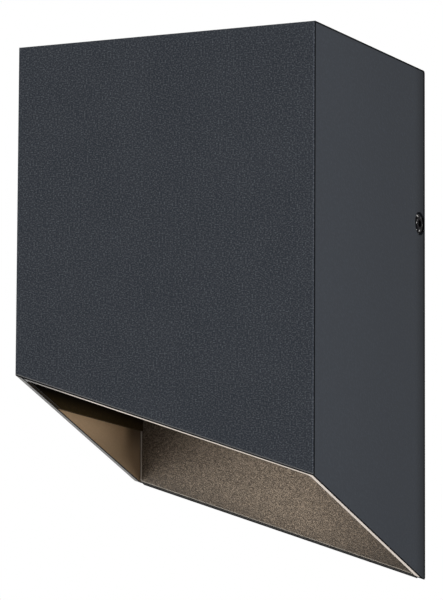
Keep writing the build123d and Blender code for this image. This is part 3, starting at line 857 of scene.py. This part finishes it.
SHEEN_GAIN = 1.25
SHEEN_LIFT = 0.01


def insulation(name: str, colour: Colour) -> Finish:
    """Make the glossy skin of an insulated lead.

    Args:
        name: the material's name.
        colour: its colour.

    Returns:
        The finish.
    """
    pale: Colour = tuple(min(1.0, part * SHEEN_GAIN + SHEEN_LIFT) for part in colour)
    return Finish(name, colour, pale, (0.28, 0.42), Pattern.MOULDED, 0.5 * MM, 0.008 * MM)


RED_LEAD = insulation("red_insulation", (0.42, 0.02, 0.02))
BLACK_LEAD = insulation("black_insulation", (0.015, 0.015, 0.015))
BROWN_LEAD = insulation("brown_insulation", (0.13, 0.055, 0.025))
BLUE_LEAD = insulation("blue_insulation", (0.03, 0.11, 0.42))
GREEN_LEAD = insulation("green_insulation", (0.10, 0.38, 0.05))

AnyFinish = Finish | CoverFinish | EdgedFinish | GradedFinish | GlintSpotFinish


class PaintShop:
    """Makes each finish's material once and lays it on objects."""

    def __init__(self) -> None:
        """Prepare the shared effects."""
        self.effects = EffectLibrary()
        self.made: dict[str, bpy.types.Material] = {}

    def material(self, finish: AnyFinish) -> bpy.types.Material:
        """Give the finish's material, made on first use.

        Args:
            finish: the finish.

        Returns:
            Its material.
        """
        if finish.name not in self.made:
            self.made[finish.name] = finish.build(self.effects)
        return self.made[finish.name]

    def coat(self, piece: bpy.types.Object, finish: AnyFinish) -> None:
        """Lay a finish on a piece.

        Args:
            piece: the object.
            finish: what it gets.
        """
        if not piece.material_slots:
            piece.data.materials.append(None)
        for slot in piece.material_slots:
            slot.material = self.material(finish)


@dataclass(frozen=True)
class Layout:
    """Rows and columns of a repeated piece, in metres."""

    centre: Vector
    columns: int
    rows: int
    column_pitch: float
    row_pitch: float
    size: Vector


@dataclass(frozen=True)
class RepeatedPiece:
    """Equal small forms in rows on a face of one node; a size of 0 fills the length between the margins."""

    name: str
    body: Body
    slot: str
    finish: Finish
    element: Element
    host: str
    size: Point
    counts: tuple[int, int]
    margins: Span
    underside: bool
    proud: float

    def layout(self) -> Layout:
        """Spread the forms over the host's face.

        Returns:
            Where they stand and how large each is.
        """
        low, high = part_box(self.host)
        centre = (low + high) / 2
        tall = self.size[2]
        centre.z = low.z - self.proud + tall / 2 if self.underside else high.z + self.proud - tall / 2
        sizes, pitches = [], []
        for axis, count in enumerate(self.counts):
            length = high[axis] - low[axis] - 2 * self.margins[axis]
            sizes.append(self.size[axis] or length)
            pitches.append((length - sizes[axis]) / (count - 1) if count > 1 else 0.0)
        return Layout(centre, *self.counts, *pitches, Vector((*sizes, tall)))


class Workshop:
    """Grows repeated pieces with one node tree per element and keeps them as plain meshes."""

    seed: int = 7
    variation: float = 0.01
    rib_steps: int = 25
    rib_sides: int = 16
    rib_blunt: float = 24.0
    rib_tip: float = 0.05
    dome_segments: int = 20
    dome_rings: int = 12

    def __init__(self, shop: PaintShop) -> None:
        """Build the trees.

        Args:
            shop: the maker of materials.
        """
        self.shop = shop
        self.trees = {element: self._tree(element) for element in Element}

    def _rib(self, graph: Graph) -> Socket:
        """Build a bar of unit size with rounded ends.

        Args:
            graph: the tree's graph.

        Returns:
            The bar's geometry.
        """
        feeds = {"Start": (-0.5, 0.0, 0.0), "End": (0.5, 0.0, 0.0)}
        line = graph.add("GeometryNodeCurvePrimitiveLine", feeds)
        path = graph.add("GeometryNodeResampleCurve", {"Curve": line.outputs[0], "Count": self.rib_steps})
        factor = graph.add("GeometryNodeSplineParameter").outputs["Factor"]
        reach = graph.math("ABSOLUTE", graph.math("MULTIPLY_ADD", factor, 2.0, -1.0))
        fall = graph.inverse(graph.math("POWER", reach, self.rib_blunt))
        radius = graph.math("MAXIMUM", graph.math("SQRT", fall), self.rib_tip)
        ring = graph.add("GeometryNodeCurvePrimitiveCircle", {"Resolution": self.rib_sides, "Radius": 0.5})
        feeds = {
            "Curve": path.outputs[0], "Profile Curve": ring.outputs[0], "Scale": radius, "Fill Caps": True}
        return graph.add("GeometryNodeCurveToMesh", feeds).outputs[0]

    def _dome(self, graph: Graph) -> Socket:
        """Build a ball of unit size, to be sunk into its host."""
        feeds = {"Segments": self.dome_segments, "Rings": self.dome_rings, "Radius": 0.5}
        return graph.add("GeometryNodeMeshUVSphere", feeds).outputs[0]

    def _tree(self, element: Element) -> bpy.types.NodeTree:
        """Build the tree that repeats one element.

        Args:
            element: which form.

        Returns:
            The node tree with named inputs.
        """
        tree = bpy.data.node_groups.new(f"repeat_{element.value}", "GeometryNodeTree")
        for name, kind in (
            ("Columns", "NodeSocketInt"), ("Rows", "NodeSocketInt"), ("Column Pitch", "NodeSocketFloat"),
            ("Row Pitch", "NodeSocketFloat"), ("Size", "NodeSocketVector"), ("Centre", "NodeSocketVector"),
            ("Variation", "NodeSocketFloat"), ("Seed", "NodeSocketInt"), ("Material", "NodeSocketMaterial"),
        ):
            tree.interface.new_socket(name, in_out="INPUT", socket_type=kind)
        tree.interface.new_socket("Geometry", in_out="OUTPUT", socket_type="NodeSocketGeometry")
        graph = Graph(tree)
        entry, leave = graph.add("NodeGroupInput"), graph.add("NodeGroupOutput")
        lines = []
        for count, pitch, axis in (("Columns", "Column Pitch", "X"), ("Rows", "Row Pitch", "Y")):
            gaps = graph.math("SUBTRACT", entry.outputs[count], 1)
            half_back = graph.product(gaps, entry.outputs[pitch], -0.5)
            feeds = {
                "Count": entry.outputs[count],
                "Start Location": graph.add("ShaderNodeCombineXYZ", {axis: half_back}).outputs[0],
                "Offset": graph.add("ShaderNodeCombineXYZ", {axis: entry.outputs[pitch]}).outputs[0],
            }
            lines.append(graph.add("GeometryNodeMeshLine", feeds, mode="OFFSET").outputs[0])
        crossed = graph.add("GeometryNodeInstanceOnPoints", {"Points": lines[0], "Instance": lines[1]})
        spots = graph.add("GeometryNodeRealizeInstances", {"Geometry": crossed.outputs[0]})
        form = self._rib(graph) if element is Element.RIB else self._dome(graph)
        dice = graph.add("FunctionNodeRandomValue", {"Seed": entry.outputs["Seed"]}, data_type="FLOAT")
        least, most = [socket for socket in dice.inputs if socket.type == "VALUE"][:2]
        graph.feed(least, graph.inverse(entry.outputs["Variation"]))
        graph.feed(most, 1.0)
        chance = next(socket for socket in dice.outputs if socket.type == "VALUE")
        scale = graph.scale(entry.outputs["Size"], chance)
        feeds = {"Points": spots.outputs[0], "Instance": form, "Scale": scale}
        copies = graph.add("GeometryNodeInstanceOnPoints", feeds)
        solid = graph.add("GeometryNodeRealizeInstances", {"Geometry": copies.outputs[0]})
        feeds = {"Geometry": solid.outputs[0], "Translation": entry.outputs["Centre"]}
        placed = graph.add("GeometryNodeTransform", feeds)
        feeds = {"Geometry": placed.outputs[0], "Material": entry.outputs["Material"]}
        painted = graph.add("GeometryNodeSetMaterial", feeds)
        graph.feed(leave.inputs[0], painted.outputs[0])
        return tree

    def grow(self, piece: RepeatedPiece) -> None:
        """Make a piece and set it on its body.

        Args:
            piece: what to make.
        """
        plan = piece.layout()
        tree = self.trees[piece.element]
        values = {
            "Columns": plan.columns, "Rows": plan.rows, "Column Pitch": plan.column_pitch,
            "Row Pitch": plan.row_pitch, "Size": plan.size, "Centre": plan.centre,
            "Variation": self.variation, "Seed": self.seed, "Material": self.shop.material(piece.finish),
        }
        made = bpy.data.objects.new(piece.name, bpy.data.meshes.new(piece.name))
        bpy.context.scene.collection.objects.link(made)
        modifier = made.modifiers.new("repeat", "NODES")
        modifier.node_group = tree
        for item in tree.interface.items_tree:
            if item.name in values:
                modifier[item.identifier] = values[item.name]
        graph = bpy.context.evaluated_depsgraph_get()
        mesh = bpy.data.meshes.new_from_object(made.evaluated_get(graph))
        made.modifiers.remove(modifier)
        mesh.name = piece.name
        mesh.shade_smooth()
        made.data = mesh
        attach(made, piece.body.value)
        LOG.info("%s: %d faces", piece.name, len(mesh.polygons))


class SubAssembly:
    """Nodes of the part that share a place, their finishes and the small forms that repeat on them."""

    def finishes(self) -> dict[str, AnyFinish]:
        """Return each node's finish."""
        raise NotImplementedError

    def repeats(self) -> tuple[RepeatedPiece, ...]:
        """Return the pieces that repeat on the nodes, if there are any."""
        return ()

    def build(self, workshop: Workshop) -> None:
        """Make the repeated pieces.

        Args:
            workshop: the maker of repeated pieces.
        """
        for piece in self.repeats():
            workshop.grow(piece)

    def dress(self, nodes: dict[str, bpy.types.Object], shop: PaintShop) -> None:
        """Give every node its material.

        Args:
            nodes: the part's node objects.
            shop: the maker of materials.
        """
        for node, finish in self.finishes().items():
            shop.coat(nodes[node], finish)
            LOG.info("%s: %s in %s", type(self).__name__, node, finish.name)


@dataclass(frozen=True)
class CoverShell(SubAssembly):
    """Slant-cut cover with the bars that its side screws thread into."""

    paints: CoverFinish = COVER_FINISH
    bars: Finish = ZINC

    def finishes(self) -> dict[str, AnyFinish]:
        """Return the paints of the cover and the plating of its bars."""
        return {"cover": self.paints, "clamp_bars": self.bars}


@dataclass(frozen=True)
class SideScrews(SubAssembly):
    """The two dark screws that hold the cover."""

    steel: GlintSpotFinish = SCREW_FINISH

    def finishes(self) -> dict[str, AnyFinish]:
        """Return the finish of both screws."""
        return {"left_screw": self.steel, "right_screw": self.steel}


@dataclass(frozen=True)
class WallMount(SubAssembly):
    """Wall plate with its rain seal and cable inlet."""

    plate: Finish = BLACK_COAT
    rubber: Finish = BLACK_RUBBER

    def finishes(self) -> dict[str, AnyFinish]:
        """Return the finishes of the plate and its rubber pieces."""
        return {"wall_plate": self.plate, "rain_seal": self.rubber, "cable_grommet": self.rubber}


@dataclass(frozen=True)
class LightChamber(SubAssembly):
    """Reflector, glare baffle and the fluted diffuser in its frame."""

    flutes: int = 13
    flute_width: float = 3.7 * MM
    flute_height: float = 2.4 * MM
    flute_proud: float = 1.0 * MM
    flute_margin: float = 7.0 * MM

    def finishes(self) -> dict[str, AnyFinish]:
        """Return the finishes of the chamber's sheets, seals and screws."""
        return {
            "reflector": REFLECTOR_FINISH, "reflector_screws": ZINC, "glare_baffle": BAFFLE_FINISH,
            "frame_screws": ZINC, "lens_frame": ALUMINIUM, "frame_seal": SILICONE,
            "diffuser_seal": SILICONE, "diffuser": OPAL,
        }

    def repeats(self) -> tuple[RepeatedPiece, ...]:
        """Return the flutes under the diffuser."""
        return (
            RepeatedPiece(
                "diffuser_ribs", Body.WALL_PLATE, "opal", OPAL, Element.RIB, "diffuser",
                size=(0.0, self.flute_width, self.flute_height), counts=(1, self.flutes),
                margins=(self.flute_margin, self.flute_margin), underside=True, proud=self.flute_proud,
            ),
        )


@dataclass(frozen=True)
class LedEngine(SubAssembly):
    """Heat-sink shelf with the LED board, its chips and leads."""

    chip_columns: int = 4
    chip_rows: int = 3
    dome_width: float = 2.6 * MM
    dome_height: float = 1.6 * MM
    dome_proud: float = 0.5 * MM
    dome_margin: float = 0.45 * MM

    def finishes(self) -> dict[str, AnyFinish]:
        """Return the finishes of the shelf, the board and the leads."""
        return {
            "gear_shelf": ALUMINIUM, "shelf_screws": ZINC, "thermal_pad": GREY_PAD,
            "led_board": SOLDER_MASK, "led_chips": PHOSPHOR, "board_screws": ZINC,
            "lead_grommet": BLACK_RUBBER, "led_lead_positive": RED_LEAD, "led_lead_negative": BLACK_LEAD,
        }

    def repeats(self) -> tuple[RepeatedPiece, ...]:
        """Return the domes of phosphor on the chips."""
        return (
            RepeatedPiece(
                "chip_domes", Body.WALL_PLATE, "chip", PHOSPHOR, Element.DOME, "led_chips",
                size=(self.dome_width, self.dome_width, self.dome_height),
                counts=(self.chip_columns, self.chip_rows),
                margins=(self.dome_margin, self.dome_margin), underside=True, proud=self.dome_proud,
            ),
        )


@dataclass(frozen=True)
class DriverBox(SubAssembly):
    """White driver case with cooling ribs on its lid."""

    ribs: int = 7
    rib_width: float = 1.6 * MM
    rib_height: float = 1.2 * MM
    rib_proud: float = 0.5 * MM
    end_margin: float = 6.0 * MM
    side_margin: float = 5.0 * MM

    def finishes(self) -> dict[str, AnyFinish]:
        """Return the finishes of the case, the lid and the screws."""
        return {"driver_case": WHITE_PLASTIC, "driver_lid": WHITE_PLASTIC, "driver_screws": ZINC}

    def repeats(self) -> tuple[RepeatedPiece, ...]:
        """Return the ribs on the lid."""
        return (
            RepeatedPiece(
                "driver_ribs", Body.WALL_PLATE, "white_plastic", WHITE_PLASTIC, Element.RIB, "driver_lid",
                size=(0.0, self.rib_width, self.rib_height), counts=(1, self.ribs),
                margins=(self.end_margin, self.side_margin), underside=False, proud=self.rib_proud,
            ),
        )


@dataclass(frozen=True)
class Terminals(SubAssembly):
    """Terminal block, cable clamp, earth point and the three fixed leads."""

    moulding: Finish = WHITE_PLASTIC
    plating: Finish = ZINC
    earthing: Finish = BRASS

    def finishes(self) -> dict[str, AnyFinish]:
        """Return the finishes of the block, the clamp, the earth point and the leads."""
        return {
            "terminal_block": self.moulding, "terminal_screws": self.plating, "block_screws": self.plating,
            "cable_clamp": self.moulding, "clamp_screws": self.plating, "earth_ring": self.earthing,
            "earth_screw": self.earthing, "live_lead": BROWN_LEAD, "neutral_lead": BLUE_LEAD,
            "earth_lead": GREEN_LEAD,
        }


@dataclass(frozen=True)
class Viewpoint:
    """Camera of the photograph, aimed by turn, tilt and roll in degrees."""

    turn: float = 25.285
    tilt: float = -8.874
    roll: float = 0.305
    distance: float = 1.7794
    target: Point = (-0.00353, -0.040, -0.04418)
    lens: float = 312.79
    sight: float = 50.0

    def build(self) -> None:
        """Make the camera and set it as the scene's."""
        turn, tilt, roll = (math.radians(angle) for angle in (self.turn, self.tilt, self.roll))
        back = Vector((math.sin(turn) * math.cos(tilt), -math.cos(turn) * math.cos(tilt), math.sin(tilt)))
        right = Vector((math.cos(turn), math.sin(turn), 0.0))
        up = back.cross(right)
        level = Matrix((right, up, back)).transposed()
        data = bpy.data.cameras.new("photo_camera")
        data.lens = self.lens
        data.clip_end = self.sight
        camera = bpy.data.objects.new("photo_camera", data)
        rolled = level @ Matrix.Rotation(roll, 3, "Z")
        stand = Vector(self.target) + back * self.distance
        camera.matrix_world = Matrix.Translation(stand) @ rolled.to_4x4()
        bpy.context.scene.collection.objects.link(camera)
        bpy.context.scene.camera = camera


@dataclass(frozen=True)
class SoftLamp:
    """A square soft light, placed by direction and distance from the part."""

    name: str
    direction: Point
    distance: float
    side: float
    power: float

    def build(self, centre: Vector) -> None:
        """Make the light, facing the part.

        Args:
            centre: the point that it faces.
        """
        data = bpy.data.lights.new(self.name, "AREA")
        data.size = self.side
        data.energy = self.power
        lamp = bpy.data.objects.new(self.name, data)
        away = Vector(self.direction).normalized()
        turn = away.to_track_quat("Z", "Y").to_matrix().to_4x4()
        lamp.matrix_world = Matrix.Translation(centre + away * self.distance) @ turn
        bpy.context.scene.collection.objects.link(lamp)


@dataclass(frozen=True)
class Studio:
    """Pale floor, white surround, soft lights and the camera."""

    floor_level: float = -3.4
    floor_half: float = 16.0
    floor_tone: Colour = (0.86, 0.86, 0.86)
    floor_paler: float = 1.03
    floor_clouds: float = 1.5
    floor_roughness: float = 0.9
    floor_glow: float = 0.75
    ambient: float = 0.28
    centre: Point = (0.0, -0.045, -0.05)
    lamps: tuple[SoftLamp, ...] = (
        SoftLamp("left_light", (-1.0, -1.0, -0.26), 1.8, 1.5, 21.0),
        SoftLamp("under_light", (-0.35, -0.35, -1.0), 1.5, 0.5, 2.5),
        SoftLamp("low_right_light", (1.0, 0.40, -0.52), 1.6, 0.5, 8.2),
        SoftLamp("right_light", (1.0, -0.8, 0.25), 0.5, 0.3, 0.6),
        SoftLamp("top_light", (0.0, -0.1, 1.0), 1.5, 1.2, 6.0),
    )
    view: Viewpoint = Viewpoint()

    def _seen(self, graph: Graph) -> Socket:
        """Find the rays that show the backdrop: to the eye, in gloss and through glass.

        Args:
            graph: the graph of a material or the world.

        Returns:
            Their mask.
        """
        path = graph.add("ShaderNodeLightPath")
        seen = graph.either(path.outputs["Is Camera Ray"], path.outputs["Is Glossy Ray"])
        return graph.either(seen, path.outputs["Is Transmission Ray"])

    def _floor(self) -> None:
        """Lay the floor, paler to the eye than the light on it and with the part's shadow kept."""
        half, level = self.floor_half, self.floor_level
        mesh = bpy.data.meshes.new("floor")
        corners = [(-half, -half, level), (half, -half, level), (half, half, level), (-half, half, level)]
        mesh.from_pydata(corners, [], [(0, 1, 2, 3)])
        floor = bpy.data.objects.new("floor", mesh)
        bpy.context.scene.collection.objects.link(floor)
        material = bpy.data.materials.new("pale_floor")
        material.use_nodes = True
        graph = Graph(material.node_tree)
        shader = material.node_tree.nodes["Principled BSDF"]
        shader.inputs["Roughness"].default_value = self.floor_roughness
        shader.inputs["Specular IOR Level"].default_value = 0.0
        place = graph.add("ShaderNodeTexCoord").outputs["Object"]
        cloud = graph.noise(place, self.floor_clouds, detail=2.0)
        paler: Colour = tuple(part * self.floor_paler for part in self.floor_tone)
        tone = graph.mix(cloud, opaque(self.floor_tone), opaque(paler))
        graph.feed(shader.inputs["Base Color"], tone)
        graph.feed(shader.inputs["Emission Color"], tone)
        glow = graph.product(self._seen(graph), self.floor_glow)
        graph.feed(shader.inputs["Emission Strength"], glow)
        mesh.materials.append(material)

    def _surround(self) -> None:
        """Make the world: white to the eye and to gloss, plain soft light to the rest."""
        world = bpy.data.worlds.new("white_surround")
        world.use_nodes = True
        bpy.context.scene.world = world
        graph = Graph(world.node_tree)
        plain = world.node_tree.nodes["Background"]
        plain.inputs["Color"].default_value = WHITE
        plain.inputs["Strength"].default_value = self.ambient
        bright = graph.add("ShaderNodeBackground", {"Color": WHITE, "Strength": 1.0})
        choice = graph.add(
            "ShaderNodeMixShader", {0: self._seen(graph), 1: plain.outputs[0], 2: bright.outputs[0]})
        graph.feed(world.node_tree.nodes["World Output"].inputs["Surface"], choice.outputs[0])

    def build(self) -> None:
        """Make everything around the part."""
        self._floor()
        self._surround()
        for lamp in self.lamps:
            lamp.build(Vector(self.centre))
        self.view.build()
        bpy.context.scene.view_settings.view_transform = "Standard"


def main() -> None:
    """Load the part, dress it and set it in the studio."""
    logging.basicConfig(level=logging.INFO, format="%(message)s")
    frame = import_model()
    shop = PaintShop()
    workshop = Workshop(shop)
    assemblies: tuple[SubAssembly, ...] = (
        CoverShell(), SideScrews(), WallMount(), LightChamber(), LedEngine(), DriverBox(), Terminals())
    for assembly in assemblies:
        assembly.dress(frame["nodes"], shop)
        assembly.build(workshop)
    Studio().build()


if __name__ == "__main__":
    main()
